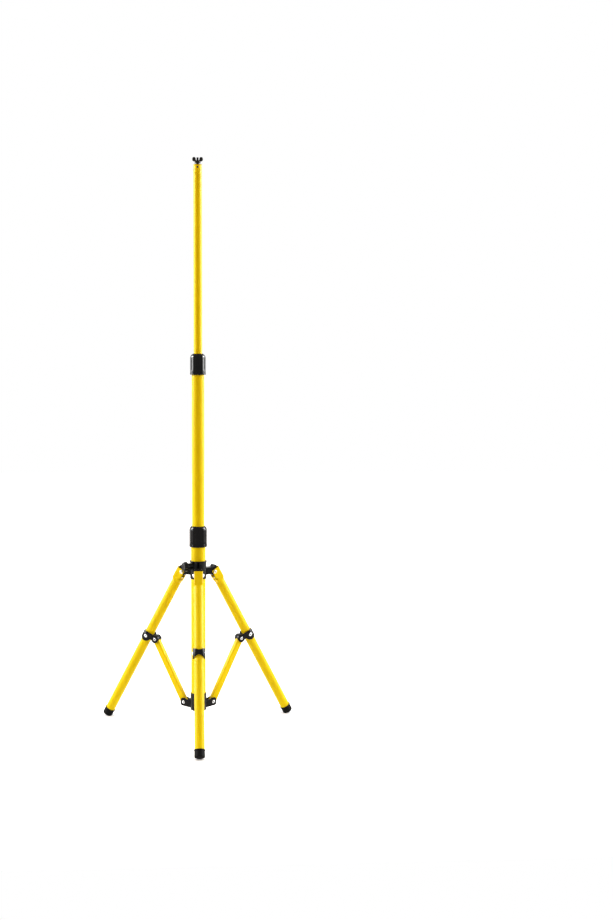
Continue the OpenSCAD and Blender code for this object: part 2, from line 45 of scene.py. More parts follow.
ahead = np.array([
    np.sin(view_turn) * np.cos(view_dip),
    np.cos(view_turn) * np.cos(view_dip),
    -np.sin(view_dip),
])
level = np.array([np.cos(view_turn), -np.sin(view_turn), 0.0])
above = np.cross(level, ahead)
view_right = level * np.cos(view_roll) + above * np.sin(view_roll)
view_up = above * np.cos(view_roll) - level * np.sin(view_roll)
view_axes = np.eye(4)
view_axes[:3] = np.column_stack([view_right, view_up, -ahead, view_place])
camera = bpy.data.objects.new("view", bpy.data.cameras.new("view"))
camera.data.sensor_fit = "VERTICAL"
camera.data.sensor_height = view_sensor
camera.data.lens = view_lens
camera.data.clip_end = 50.0
camera.matrix_world = Matrix(view_axes.tolist())
scene = bpy.context.scene
scene.collection.objects.link(camera)
scene.camera = camera
scene.view_settings.view_transform = "Standard"


# The walls of the studio: pale at both sides of the stand, greyer behind it, and a dim warm room behind
# the camera, so the tubes are bright at their sides and darker in the middle. The walls only give
# light: the eye and every mirror see plain white.
wall_colours = (
    (0.02, (0.09, 0.06, 0.035, 1.0)),
    (0.22, (0.78, 0.48, 0.22, 1.0)),
    (0.42, (0.60, 0.60, 0.60, 1.0)),
    (0.62, (0.60, 0.60, 0.60, 1.0)),
    (0.85, (0.40, 0.40, 0.40, 1.0)),
)


def seen_share(tree):
    """Output that is 1 for rays from the eye, off a mirror or through glass, and 0 for all others."""
    rays = tree.nodes.new("ShaderNodeLightPath")
    share = rays.outputs["Is Camera Ray"]
    for kind in ("Is Glossy Ray", "Is Transmission Ray"):
        either = tree.nodes.new("ShaderNodeMath")
        either.operation = "MAXIMUM"
        tree.links.new(share, either.inputs[0])
        tree.links.new(rays.outputs[kind], either.inputs[1])
        share = either.outputs[0]
    return share


studio = bpy.data.worlds.new("studio")
scene.world = studio
studio.use_nodes = True
nodes, links = studio.node_tree.nodes, studio.node_tree.links
nodes.clear()
heading = nodes.new("ShaderNodeTexCoord")
along = nodes.new("ShaderNodeSeparateXYZ")
links.new(heading.outputs["Generated"], along.inputs[0])
front_to_back = nodes.new("ShaderNodeMapRange")
front_to_back.inputs["From Min"].default_value = -1.0
links.new(along.outputs["Y"], front_to_back.inputs["Value"])
around = nodes.new("ShaderNodeValToRGB")
around.color_ramp.interpolation = "EASE"
around.color_ramp.elements.remove(around.color_ramp.elements[1])
around.color_ramp.elements[0].position = wall_colours[0][0]
around.color_ramp.elements[0].color = wall_colours[0][1]
for position, colour in wall_colours[1:]:
    around.color_ramp.elements.new(position).color = colour
links.new(front_to_back.outputs["Result"], around.inputs["Fac"])
wall_light = nodes.new("ShaderNodeBackground")
links.new(around.outputs["Color"], wall_light.inputs["Color"])
white = nodes.new("ShaderNodeBackground")
white.inputs["Color"].default_value = (1.0, 1.0, 1.0, 1.0)
seen_or_lit = nodes.new("ShaderNodeMixShader")
links.new(seen_share(studio.node_tree), seen_or_lit.inputs[0])
links.new(wall_light.outputs[0], seen_or_lit.inputs[1])
links.new(white.outputs[0], seen_or_lit.inputs[2])
world_out = nodes.new("ShaderNodeOutputWorld")
links.new(seen_or_lit.outputs[0], world_out.inputs[0])


# The floor: a sheet of pale paper, short towards the camera. It glows up to white where it is seen, and
# close to the feet that glow fades in a painted contact shadow, beside the shadow that the lamps cast.
floor_side, floor_front, floor_back = 4.0, -1.0, 6.0
paper_grey, paper_glow, painted_shadow_reach = 0.82, 0.74, 0.03
floor_mesh = bpy.data.meshes.new("floor")
floor_corners = [
    (-floor_side, floor_front, 0.0),
    (floor_side, floor_front, 0.0),
    (floor_side, floor_back, 0.0),
    (-floor_side, floor_back, 0.0),
]
floor_mesh.from_pydata(floor_corners, [], [(0, 1, 2, 3)])
floor = bpy.data.objects.new("floor", floor_mesh)
scene.collection.objects.link(floor)
paper = bpy.data.materials.new("floor_paper")
paper.use_nodes = True
nodes, links = paper.node_tree.nodes, paper.node_tree.links
nodes.clear()
matt = nodes.new("ShaderNodeBsdfDiffuse")
matt.inputs["Color"].default_value = (paper_grey, paper_grey, paper_grey, 1.0)
seen_glow = nodes.new("ShaderNodeMath")
seen_glow.operation = "MULTIPLY"
seen_glow.inputs[1].default_value = paper_glow
links.new(seen_share(paper.node_tree), seen_glow.inputs[0])
# Ambient occlusion dims the glow close to the feet: a painted shadow, not one cast by the lamps.
painted_shadow_nearness = nodes.new("ShaderNodeAmbientOcclusion")
painted_shadow_nearness.samples = 3
painted_shadow_nearness.inputs["Distance"].default_value = painted_shadow_reach
glow_with_painted_shadow = nodes.new("ShaderNodeMath")
glow_with_painted_shadow.operation = "MULTIPLY"
links.new(seen_glow.outputs[0], glow_with_painted_shadow.inputs[0])
links.new(painted_shadow_nearness.outputs["AO"], glow_with_painted_shadow.inputs[1])
glow = nodes.new("ShaderNodeEmission")
links.new(glow_with_painted_shadow.outputs[0], glow.inputs["Strength"])
lit_and_glowing = nodes.new("ShaderNodeAddShader")
links.new(matt.outputs[0], lit_and_glowing.inputs[0])
links.new(glow.outputs[0], lit_and_glowing.inputs[1])
paper_out = nodes.new("ShaderNodeOutputMaterial")
links.new(lit_and_glowing.outputs[0], paper_out.inputs[0])
floor_mesh.materials.append(paper)


# The lamps: a tall strip beside the stand and a square box further back, the same on the left and on
# the right. The two gloss lamps of each side draw highlights and give no other light.
def soft_lamp(name, place, aim, width, height, power):
    """Flat lamp of this width and height in metres, at place and turned towards aim."""
    lamp = bpy.data.lights.new(name, "AREA")
    lamp.shape = "RECTANGLE"
    lamp.size = width
    lamp.size_y = height
    lamp.energy = power
    back = np.array(place, float) - np.array(aim, float)
    back /= np.linalg.norm(back)
    across = np.cross((0.0, 0.0, 1.0), back)
    across /= np.linalg.norm(across)
    axes = np.eye(4)
    axes[:3] = np.column_stack([across, np.cross(back, across), back, place])
    holder = bpy.data.objects.new(name, lamp)
    holder.matrix_world = Matrix(axes.tolist())
    scene.collection.objects.link(holder)
    return holder


leg_middle, mast_middle = (0.0, 0.0, 0.8), (0.0, 0.0, 1.5)
for side in (-1, 1):
    soft_lamp(f"side_strip_{side}", (side * 3.0, -0.3, 1.3), leg_middle, 0.6, 2.4, power=42.0)
    gloss_strip = soft_lamp(
        f"gloss_strip_{side}", (side * 2.9, 0.86, 1.75), mast_middle, 0.95, 2.3, power=125.0)
    gloss_strip.visible_diffuse = False
    gloss_box = soft_lamp(f"gloss_box_{side}", (side * 2.8, 0.83, 2.2), leg_middle, 0.9, 0.9, power=95.0)
    gloss_box.visible_diffuse = False
    soft_lamp(f"back_box_{side}", (side * 2.7, 0.8, 2.1), leg_middle, 0.9, 0.9, power=52.0)


# Lower mast tube: welded steel tube with a yellow powder coat. It carries the collar at its foot, the
# sliding hub and the lower twist lock.
def rounded(corners, closed=True, steps=5):
    """Outline through corners (across, up, radius), each corner turned into an arc.

    The arc touches both sides at radius / tan(half angle) from the corner. A point a little outside
    each touch keeps the flat beside it flat when it is shaded smooth."""
    points = np.array([corner[:2] for corner in corners], float)
    radius = np.array([corner[2] if len(corner) > 2 else 0.0 for corner in corners], float)
    if not closed:
        radius[[0, -1]] = 0.0
    to_last = np.roll(points, 1, axis=0) - points
    to_next = np.roll(points, -1, axis=0) - points
    last_length = np.linalg.norm(to_last, axis=1, keepdims=True)
    next_length = np.linalg.norm(to_next, axis=1, keepdims=True)
    to_last /= last_length
    to_next /= next_length
    half = 0.5 * np.arccos(np.clip((to_last * to_next).sum(1), -0.999999, 0.999999))
    reach = (radius / np.tan(half))[:, None]
    middle = to_last + to_next
    middle /= np.linalg.norm(middle, axis=1, keepdims=True)
    centre = points + middle * (radius / np.sin(half))[:, None]
    angle = (np.pi - 2 * half)[:, None, None]
    share = np.linspace(0, 1, steps)[None, :, None]
    start = (points + to_last * reach - centre)[:, None, :]
    end = (points + to_next * reach - centre)[:, None, :]
    sweep = np.sin((1 - share) * angle) * start + np.sin(share * angle) * end
    arc = centre[:, None, :] + sweep / np.sin(angle)
    before = points + to_last * np.minimum(reach * 1.3, last_length / 2)
    after = points + to_next * np.minimum(reach * 1.3, next_length / 2)
    outline = np.concatenate([before[:, None, :], arc, after[:, None, :]], axis=1).reshape(-1, 2)
    if not closed:
        outline = outline[steps + 1:-steps - 1]
    step = np.linalg.norm(outline - np.roll(outline, 1, axis=0), axis=1)
    return outline[step > 1e-6]


def turned(profile, count=96):
    """Profile of (radius, height) turned about the Z axis: x = r cos a, y = r sin a."""
    angle = np.arange(count) * 2 * np.pi / count
    radius, height = profile[:, :1], profile[:, 1:]
    return np.stack([radius * np.cos(angle), radius * np.sin(angle), height + 0 * angle], axis=-1)


def skin(name, *surfaces):
    """One mesh of quads over one or more grids of points.

    Each surface is (grid, wrap): wrap names the directions that close on themselves, "columns",
    "both" or "none". "columns capped" also closes the first and the last row with a flat face."""
    corners, faces, first = [], [], 0
    for grid, wrap in surfaces:
        rows, columns = grid.shape[:2]
        i = np.arange(rows if wrap == "both" else rows - 1)[:, None]
        j = np.arange(columns - 1 if wrap == "none" else columns)[None, :]
        i_next, j_next = (i + 1) % rows, (j + 1) % columns
        quads = np.stack(np.broadcast_arrays(
            i * columns + j, i * columns + j_next, i_next * columns + j_next, i_next * columns + j), -1)
        faces += (quads.reshape(-1, 4) + first).tolist()
        if wrap == "columns capped":
            ring = np.arange(columns) + first
            faces += [ring[::-1].tolist(), (ring + (rows - 1) * columns).tolist()]
        corners.append(grid.reshape(-1, 3) * 0.001)
        first += rows * columns
    mesh = bpy.data.meshes.new(name)
    mesh.from_pydata(np.concatenate(corners).tolist(), [], faces)
    work = bmesh.new()
    work.from_mesh(mesh)
    bmesh.ops.remove_doubles(work, verts=work.verts, dist=2e-6)
    bmesh.ops.dissolve_degenerate(work, edges=work.edges, dist=1e-7)
    bmesh.ops.recalc_face_normals(work, faces=work.faces)
    work.to_mesh(mesh)
    work.free()
    piece = bpy.data.objects.new(name, mesh)
    scene.collection.objects.link(piece)
    return piece


def dress(piece, coating, body, stands_for):
    """Smooth shading with sharp edges kept, the coating, and the piece's place on its body."""
    mesh = piece.data
    mesh.materials.clear()
    mesh.materials.append(coating)
    mesh.polygons.foreach_set("use_smooth", np.ones(len(mesh.polygons), bool))
    mesh.set_sharp_from_angle(angle=np.radians(38))
    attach(piece, body)
    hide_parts(stands_for)


def finish(name, colours, patch, rough, streak, grain, depth, metal=0.0, mirror=0.5):
    """Procedural finish on Object coordinates.

    colours are the two ends of a soft cloud of size 1 / patch; rough is the range of the gloss, in
    streaks scaled along each axis by streak; grain and depth are the fine bump."""
    material = bpy.data.materials.new(name)
    material.use_nodes = True
    tree = material.node_tree
    shader = tree.nodes["Principled BSDF"]
    shader.inputs["Metallic"].default_value = metal
    shader.inputs["Specular IOR Level"].default_value = mirror
    place = tree.nodes.new("ShaderNodeTexCoord").outputs["Object"]

    def noise(at, scale, detail):
        """Value of a noise texture at these coordinates."""
        texture = tree.nodes.new("ShaderNodeTexNoise")
        texture.inputs["Scale"].default_value = scale
        texture.inputs["Detail"].default_value = detail
        tree.links.new(at, texture.inputs["Vector"])
        return texture.outputs["Fac"]

    cloud = tree.nodes.new("ShaderNodeValToRGB")
    for end, position, colour in zip(cloud.color_ramp.elements, (0.32, 0.68), colours):
        end.position = position
        end.color = (*colour, 1.0)
    tree.links.new(noise(place, patch, 6.0), cloud.inputs["Fac"])
    tree.links.new(cloud.outputs["Color"], shader.inputs["Base Color"])
    stretch = tree.nodes.new("ShaderNodeMapping")
    stretch.inputs["Scale"].default_value = streak
    tree.links.new(place, stretch.inputs["Vector"])
    gloss = tree.nodes.new("ShaderNodeMapRange")
    for limit, value in zip(("From Min", "From Max", "To Min", "To Max"), (0.3, 0.7, *rough)):
        gloss.inputs[limit].default_value = value
    tree.links.new(noise(stretch.outputs["Vector"], 1.0, 5.0), gloss.inputs["Value"])
    tree.links.new(gloss.outputs["Result"], shader.inputs["Roughness"])
    bump = tree.nodes.new("ShaderNodeBump")
    bump.inputs["Strength"].default_value = 0.35
    bump.inputs["Distance"].default_value = depth
    tree.links.new(noise(place, grain, 3.0), bump.inputs["Height"])
    tree.links.new(bump.outputs["Normal"], shader.inputs["Normal"])
    return material


def pipe(outside, wall, low, high):
    """Round tube about the Z axis with its end edges eased."""
    r, bore = outside / 2, outside / 2 - wall
    return turned(rounded([(bore, low, 0.3), (r, low, 0.4), (r, high, 0.4), (bore, high, 0.3)])), "both"


yellow_enamel = finish(
    "yellow_enamel", ((0.92, 0.685, 0.002), (0.94, 0.715, 0.003)), patch=7.0, rough=(0.24, 0.34),
    streak=(55.0, 55.0, 4.0), grain=900.0, depth=0.00007, mirror=0.10)
lower_tube_d, mast_wall = 38.0, 1.5
mast_foot_z, lower_tube_top_z = 52.0, 518.5
lower_tube = skin("mast_lower_tube", pipe(lower_tube_d, mast_wall, mast_foot_z, lower_tube_top_z))
dress(lower_tube, yellow_enamel, "mast", "lower_tube")


# End plug of the mast: a dished cap moulded in black plastic and pressed into the open lower end of
# the tube, with a rim that covers the tube's edge.
black_moulding = finish(
    "black_moulding", ((0.002, 0.002, 0.002), (0.005, 0.005, 0.005)), patch=40.0, rough=(0.09, 0.18),
    streak=(90.0, 90.0, 30.0), grain=1500.0, depth=0.00002, mirror=0.12)
plug_r, plug_rim_r, dish_r = lower_tube_d / 2 - mast_wall, 18.7, 13.5
plug_rim_z, dish_z, plug_end_z = mast_foot_z - 1.5, mast_foot_z - 0.4, mast_foot_z + 5.0
end_plug = skin("mast_end_cap", (turned(rounded([
    (0, dish_z), (dish_r, dish_z, 1.0), (dish_r + 1.0, plug_rim_z, 0.5), (plug_rim_r, plug_rim_z, 1.0),
    (plug_rim_r, mast_foot_z, 0.2), (plug_r, mast_foot_z), (plug_r, plug_end_z, 0.6), (0, plug_end_z)],
    closed=False)), "columns"))
dress(end_plug, black_moulding, "mast", "mast_end_plug")


# Runner: a black moulded collar fixed on the foot of the mast, with a pair of ears for each strut. The
# ears turn out of the collar in a small bend.
def placed(points, tilt=0.0, out=0.0, up=0.0, turn=0.0):
    """Points tilted about Y by tilt, moved out along X and up along Z, then turned about the mast."""
    t, a = np.radians([tilt, turn])
    x, y, z = points[..., 0], points[..., 1], points[..., 2]
    reach = x * np.cos(t) + z * np.sin(t) + out
    rise = z * np.cos(t) - x * np.sin(t) + up
    return np.stack([reach * np.cos(a) - y * np.sin(a), reach * np.sin(a) + y * np.cos(a), rise], axis=-1)


def slab(outline, near, far, edge, steps=4):
    """Plate whose outline (across, up) is carried along Y from near to far, with rounded edges.

    Ring by ring the outline is drawn in along its own normal by edge * (1 - sin a) while it goes up
    by edge * (1 - cos a)."""
    along = np.roll(outline, -1, axis=0) - np.roll(outline, 1, axis=0)
    along /= np.linalg.norm(along, axis=1, keepdims=True)
    inward = np.stack([-along[:, 1], along[:, 0]], axis=1)
    after = np.roll(outline, -1, axis=0)
    inward *= np.sign(np.sum(outline[:, 0] * after[:, 1] - after[:, 0] * outline[:, 1]))
    a = np.linspace(0, np.pi / 2, steps)
    rim = 1.35 * edge
    inset = np.concatenate([[rim], edge * (1 - np.sin(a)), edge * (1 - np.cos(a)), [rim]])
    depth = np.concatenate([[near], near + edge * (1 - np.cos(a)), far - edge * (1 - np.sin(a)), [far]])
    flat = outline[None] + inward[None] * inset[:, None, None]
    return np.stack([flat[..., 0], 0 * flat[..., 0] + depth[:, None], flat[..., 1]], axis=-1)


def fused(piece, voxel, rounds):
    """The overlapping shells of a piece melted into one skin of small quads, its inner edges eased."""
    melt = piece.modifiers.new("melt", "REMESH")
    melt.mode = "VOXEL"
    melt.voxel_size = voxel * 0.001
    ease = piece.modifiers.new("ease", "SMOOTH")
    ease.factor = 0.5
    ease.iterations = rounds
    bpy.context.view_layer.update()
    melted = piece.evaluated_get(bpy.context.evaluated_depsgraph_get())
    solid = bpy.data.meshes.new_from_object(melted)
    piece.modifiers.clear()
    piece.data = solid
    return piece


leg_turns = (-90.0, 150.0, 30.0)
runner_foot_z, runner_top_z, collar_bore_r, collar_r = 51.5, 97.5, 18.9, 21.0
ear_t, strut_t, strut_gap = 2.6, 12.0, 0.4
collar = turned(rounded([
    (collar_bore_r, runner_foot_z, 0.4), (collar_r, runner_foot_z, 0.9), (collar_r, runner_top_z, 0.9),
    (collar_bore_r, runner_top_z, 0.4)]))
ear_outline = rounded([
    (20.2, 55.5, 0.5), (36.0, 57.2, 8.0), (50.2, 58.6, 6.5), (50.2, 79.4, 7.0), (37.0, 79.4, 7.0),
    (31.5, 76.0, 5.0), (20.2, 78.5, 0.5)], steps=8)
ear_near = strut_t / 2 + strut_gap
ear_far = ear_near + ear_t
runner_shells = [(collar, "both")]
for turn in leg_turns:
    for near, far in ((ear_near, ear_far), (-ear_far, -ear_near)):
        runner_shells.append((placed(slab(ear_outline, near, far, 0.6), turn=turn), "columns capped"))
runner = fused(skin("runner_collar", *runner_shells), voxel=0.6, rounds=5)
dress(runner, black_moulding, "mast", "runner")


# Hollow rivets of the runner: zinc plated steel, set from both sides through the ears. Their rolled
# heads shine as a ring around the hole.
def hollow_rivet(shank, grip, head, rise, hole):
    """Rivet along Y turned from one profile: hole, rolled rim and shank, the same at both ends.

    shank and head are diameters, hole is a radius, and rise is how far a head stands off the grip."""
    half = grip / 2
    end = [
        (0, half - 1.2), (hole, half - 1.2, 0.2), (hole, half + rise, 0.6), (hole + 1.2, half + rise, 0.8),
        (head / 2 - 0.7, half + 0.55 * rise, 1.2), (head / 2, half + 0.1, 0.3), (head / 2, half, 0.1),
        (shank / 2, half)]
    other_end = [(corner[0], -corner[1], *corner[2:]) for corner in end[::-1]]
    upright = turned(rounded(end + other_end, closed=False, steps=4), 40)
    return upright[..., [0, 2, 1]]


bright_zinc = finish(
    "bright_zinc", ((0.62, 0.62, 0.64), (0.78, 0.78, 0.79)), patch=220.0, rough=(0.22, 0.36),
    streak=(300.0, 300.0, 300.0), grain=1200.0, depth=0.00003, metal=1.0)
pin_d, runner_pin_r, runner_pin_z = 6.0, 41.0, 68.0
runner_rivet = hollow_rivet(pin_d, grip=2 * ear_far, head=8.6, rise=1.8, hole=1.7)
for k, turn in enumerate(leg_turns, 1):
    rivet_grid = placed(runner_rivet, out=runner_pin_r, up=runner_pin_z, turn=turn)
    rivet = skin(f"runner_rivet_{k}", (rivet_grid, "columns"))
    dress(rivet, bright_zinc, "mast", f"runner_pin_{k}")


# Twist locks. Each has a plain flanged sleeve fixed on the end of the outer tube and a fluted nut with
# a rounded shoulder that turns on it. Both are black mouldings with a collet inside.
flange_h, nut_gap, lock_h, lock_wall = 6.5, 0.4, 54.5, 4.1
socket_h, seat_h, neck_h, neck_wall = 30.0, 34.0, 43.0, 1.4
shoulder_h, flute_count, flute_depth = 12.0, 14, 0.7


def lock_sleeve(z, lock_d, tube_d, inner_d):
    """Sleeve of a lock: flange, neck, tube socket and collet seat as one closed profile."""
    neck_r, guide_r, seat_r = tube_d / 2 + neck_wall, inner_d / 2 + 0.08, inner_d / 2 + 2.5
    return turned(rounded([
        (tube_d / 2, z, 0.3), (lock_d / 2 + 0.3, z, 1.2), (lock_d / 2 + 0.1, z + flange_h, 0.5),
        (neck_r, z + flange_h), (neck_r, z + neck_h, 0.3), (seat_r, z + neck_h, 0.2), (seat_r, z + seat_h),
        (guide_r, z + seat_h), (guide_r, z + socket_h), (tube_d / 2, z + socket_h)])), "both"


def lock_nut(z, lock_d, tube_d, inner_d, count=280):
    """Nut of a lock: an arched shoulder falls from the fluted wall to the rim around the inner tube.

    The wall's radius is drawn in by depth * (0.5 - 0.5 cos(flutes * a)) ** 0.6, which leaves narrow
    ribs, and the flutes run out in the shoulder and above the bottom band."""
    low, top = z + flange_h + nut_gap, z + lock_h
    shoulder = top - shoulder_h
    fall = lock_d / 2 - inner_d / 2 - 1.4
    sweep_r = (fall ** 2 + shoulder_h ** 2) / (2 * fall)
    rise = np.linspace(0, shoulder_h, 16)
    arch = np.stack([lock_d / 2 - sweep_r + np.sqrt(sweep_r ** 2 - rise ** 2), shoulder + rise], axis=1)
    wall = np.stack([np.full(14, lock_d / 2), np.linspace(low + 1.0, shoulder, 14)], axis=1)[:-1]
    thread_r, rim_r = tube_d / 2 + 1.8, inner_d / 2 + 0.6
    foot = rounded([(thread_r, low), (lock_d / 2, low, 0.7), (lock_d / 2, low + 1.0)], closed=False)
    inside = np.array([(rim_r, top), (rim_r, top - 4), (inner_d / 2 + 2.4, top - 4), (thread_r, top - 10)])
    profile = np.concatenate([foot[:-1], wall, arch, inside])
    row = np.arange(len(profile))
    outer = (row >= 1) & (row < len(profile) - len(inside))
    height = profile[:, 1]
    fade = np.clip((height - low - 2.5) / 2.0, 0, 1) * np.clip((top - 4.5 - height) / 7.0, 0, 1) * outer
    angle = np.arange(count) * 2 * np.pi / count
    flute = (0.5 - 0.5 * np.cos(flute_count * angle)) ** 0.6
    grid = turned(profile, count)
    shrink = 1 - flute_depth * fade[:, None] * flute[None, :] / np.maximum(profile[:, :1], 1.0)
    grid[..., :2] *= shrink[..., None]
    return grid, "both"


mid_tube_d, top_tube_d = 32.0, 22.0
for name, z, tube_d, inner_d, body in (
        ("lower", 488.5, lower_tube_d, mid_tube_d, "mast"),
        ("upper", 939.5, mid_tube_d, top_tube_d, "mid")):
    lock_d = tube_d + 2 * lock_wall
    sleeve = skin(f"{name}_lock_flange", lock_sleeve(z, lock_d, tube_d, inner_d))
    dress(sleeve, black_moulding, body, f"{name}_lock_sleeve")
    nut = skin(f"{name}_lock_grip", lock_nut(z, lock_d, tube_d, inner_d))
    dress(nut, black_moulding, f"{name}_nut", f"{name}_lock_nut")


# Middle and top mast tubes: yellow steel tubes that slide one in the other on the guide bushes at
# their lower ends.
mid_tube_foot_z, mid_tube_end_z, top_tube_foot_z, top_tube_end_z = 446.1, 969.5, 902.1, 1477.0
mid_tube = skin("mast_middle_tube", pipe(mid_tube_d, mast_wall, mid_tube_foot_z, mid_tube_end_z))
dress(mid_tube, yellow_enamel, "mid", "mid_tube")
top_tube = skin("mast_top_tube", pipe(top_tube_d, mast_wall, top_tube_foot_z, top_tube_end_z))
dress(top_tube, yellow_enamel, "top", "top_tube")


# Inner pieces of the mast and the clamp: split collets, guide bushes and the clamp's pad, all of dark
# nylon. Their solids are right as they are and only get their finish.
def coat(coating, *node_names):
    """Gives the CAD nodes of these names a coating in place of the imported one."""
    for node_name in node_names:
        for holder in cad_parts[node_name].material_slots:
            holder.material = coating


dark_nylon = finish(
    "dark_nylon", ((0.030, 0.030, 0.032), (0.045, 0.045, 0.047)), patch=60.0, rough=(0.42, 0.58),
    streak=(120.0, 120.0, 30.0), grain=1100.0, depth=0.00004)
coat(dark_nylon, "lower_collet", "upper_collet", "mid_bush", "top_bush", "clamp_pad")


# Plug of the top tube: a black moulding with a thin rim on the tube's edge. A small dark rivet through
# the front of the tube pins it.
rim_r, rim_t, pocket_r, pocket_depth, plug_depth = 11.4, 1.0, 4.1, 0.4, 22.0
plug_fit_r, plug_top_z = top_tube_d / 2 - mast_wall, top_tube_end_z + rim_t
plug_foot_z, pocket_z = top_tube_end_z - plug_depth, plug_top_z - pocket_depth
plug = skin("seat_plug", (turned(rounded([
    (0, plug_foot_z), (plug_fit_r, plug_foot_z, 1.0), (plug_fit_r, top_tube_end_z),
    (rim_r, top_tube_end_z, 0.25), (rim_r, plug_top_z, 0.35), (pocket_r, plug_top_z, 0.15),
    (pocket_r, pocket_z), (0, pocket_z)], closed=False), 72), "columns"))
dress(plug, black_moulding, "top", "top_plug")
aged_steel = finish(
    "aged_steel", ((0.010, 0.009, 0.008), (0.026, 0.024, 0.022)), patch=300.0, rough=(0.26, 0.42),
    streak=(300.0, 300.0, 300.0), grain=1500.0, depth=0.00004, metal=1.0)
seat_pin_z, seat_pin_end = top_tube_end_z - 7.0, 6.0
pin_head = turned(rounded([
    (0, 12.05), (1.5, 12.0, 0.5), (2.5, 11.1, 0.3), (2.5, 10.75, 0.1), (1.7, 10.75), (1.7, seat_pin_end),
    (0, seat_pin_end)], closed=False), 32)
pin_head = np.stack([pin_head[..., 0], -pin_head[..., 2], pin_head[..., 1] + seat_pin_z], axis=-1)
dress(skin("seat_pin", (pin_head, "columns")), aged_steel, "top", "plug_rivet")


# Stud of the lamp seat: dark steel with a bare shoulder for the lamp's bracket and a cut thread above
# it. Its foot is moulded into the plug.
stud_r, shoulder_r, stud_foot_z, stud_top_z, washer_z = 3.0, 4.0, 1462.0, 1495.0, 1480.5
thread_pitch, thread_depth = 1.0, 0.6
shoulder_z = plug_top_z - 0.2
thread_z = np.linspace(washer_z, stud_top_z, 150)
thread_angle = np.arange(48) * 2 * np.pi / 48
thread_turn = (thread_z[:, None] / thread_pitch - thread_angle[None, :] / (2 * np.pi)) % 1.0
below_tip, above_foot = (stud_top_z - thread_z)[:, None], (thread_z - washer_z)[:, None]
run_out = np.clip(below_tip / 1.2, 0, 1) * np.clip(above_foot / 1.0, 0, 1)
thread_r = stud_r - thread_depth * run_out * np.abs(2 * thread_turn - 1)
thread_r -= 0.5 * (1 - np.clip(below_tip / 0.8, 0, 1))
thread = np.stack([
    thread_r * np.cos(thread_angle), thread_r * np.sin(thread_angle), thread_z[:, None] + 0 * thread_angle],
    axis=-1)
stud_foot = turned(rounded([
    (0, stud_foot_z), (stud_r, stud_foot_z, 0.4), (stud_r, shoulder_z), (shoulder_r, shoulder_z),
    (shoulder_r, washer_z, 0.3), (stud_r, washer_z)], closed=False), 48)
stud_tip = turned(np.array([(2.5, stud_top_z), (0, stud_top_z)]), 48)
stud = skin("seat_stud", (np.concatenate([stud_foot, thread[1:], stud_tip[1:]]), "columns"))
dress(stud, aged_steel, "top", "lamp_stud")


# Washer and wing nut of the lamp seat: dark steel, free on the stud. The nut's two flat wings stand up
# from its round foot.
nut_z, washer_r, washer_bore_r, nut_bore_r = 1481.9, 8.2, 3.4, 3.45
washer = skin("seat_washer", (turned(rounded([
    (washer_bore_r, washer_z, 0.2), (washer_r, washer_z, 0.35), (washer_r, nut_z, 0.35),
    (washer_bore_r, nut_z, 0.2)]), 72), "both"))
dress(washer, aged_steel, "washer", "lamp_washer")
wing_foot = turned(rounded([
    (nut_bore_r, 0.02, 0.2), (7.7, 0.02, 0.4), (7.7, 1.7, 0.6), (6.2, 2.4, 0.6), (5.2, 5.4, 0.8),
    (nut_bore_r, 6.2, 0.3)]), 72)
wing_shape = rounded([
    (3.6, 2.0, 0.4), (8.4, 2.6, 2.0), (12.8, 3.8, 3.4), (14.0, 9.0, 3.8), (12.6, 14.0, 3.4),
    (6.2, 14.0, 2.6), (4.5, 10.0, 2.2), (4.3, 6.2, 0.8), (3.6, 6.0, 0.3)], steps=7)
wing_t = 3.2
wing_right = slab(wing_shape, -wing_t / 2, wing_t / 2, 0.8)
wing_left = wing_right * np.array([-1.0, 1.0, 1.0])
wing_shells = ((wing_foot, "both"), (wing_right, "columns capped"), (wing_left, "columns capped"))
wing_nut = skin("seat_wing_nut", *[(placed(shell, up=nut_z), wrap) for shell, wrap in wing_shells])
dress(fused(wing_nut, voxel=0.3, rounds=4), aged_steel, "wing", "wing_nut")


# Hub: one black moulding that slides on the lower tube, with a flared top rim, a lug between the fork
# walls of each leg and a boss for the clamp screw.
hinge_r, hinge_z, lug_t = 44.5, 419.0, 19.0
hub_foot_z, hub_top_z, hub_bore_r, hub_rim_r = 403.5, 451.5, 19.08, 22.25
knob_z, knob_turn, boss_r, boss_bore_r, boss_end = 438.0, 210.0, 8.5, 5.05, 31.0
barrel = turned(rounded([
    (hub_bore_r, hub_foot_z, 0.5), (21.3, hub_foot_z, 1.6), (20.7, 436.0, 9.0), (21.2, 444.5, 5.0),
    (hub_rim_r, hub_top_z - 1.6, 1.0), (hub_rim_r, hub_top_z, 0.6), (hub_bore_r, hub_top_z, 0.4)], steps=6))
root_r = 20.0
lug_outline = rounded([
    (root_r, hinge_z - 6, 0.5), (hinge_r - 8, hinge_z - 6, 4.0), (hinge_r - 5, hinge_z - 9.6, 3.0),
    (hinge_r + 4.5, hinge_z - 9.4, 6.0), (hinge_r + 9.5, hinge_z + 3, 5.0),
    (hinge_r + 5.5, hinge_z + 18, 1.8), (hinge_r - 0.5, hinge_z + 18, 1.8),
    (hinge_r - 3.5, hinge_z + 12.5, 2.0), (root_r, hinge_z + 12.5, 0.5)], steps=7)
lug = slab(lug_outline, -lug_t / 2, lug_t / 2, 1.0)
boss = turned(rounded([
    (boss_bore_r, root_r + 0.2), (boss_r, root_r + 0.2), (boss_r, boss_end, 1.2),
    (boss_bore_r, boss_end, 0.4)]), 64)
hub_shells = [(barrel, "both")]
hub_shells += [(placed(lug, turn=turn), "columns capped") for turn in leg_turns]
hub_shells.append((placed(boss, tilt=90.0, up=knob_z, turn=knob_turn), "both"))
hub = fused(skin("hub_casting", *hub_shells), voxel=0.62, rounds=5)
dress(hub, black_moulding, "hub", "hub")


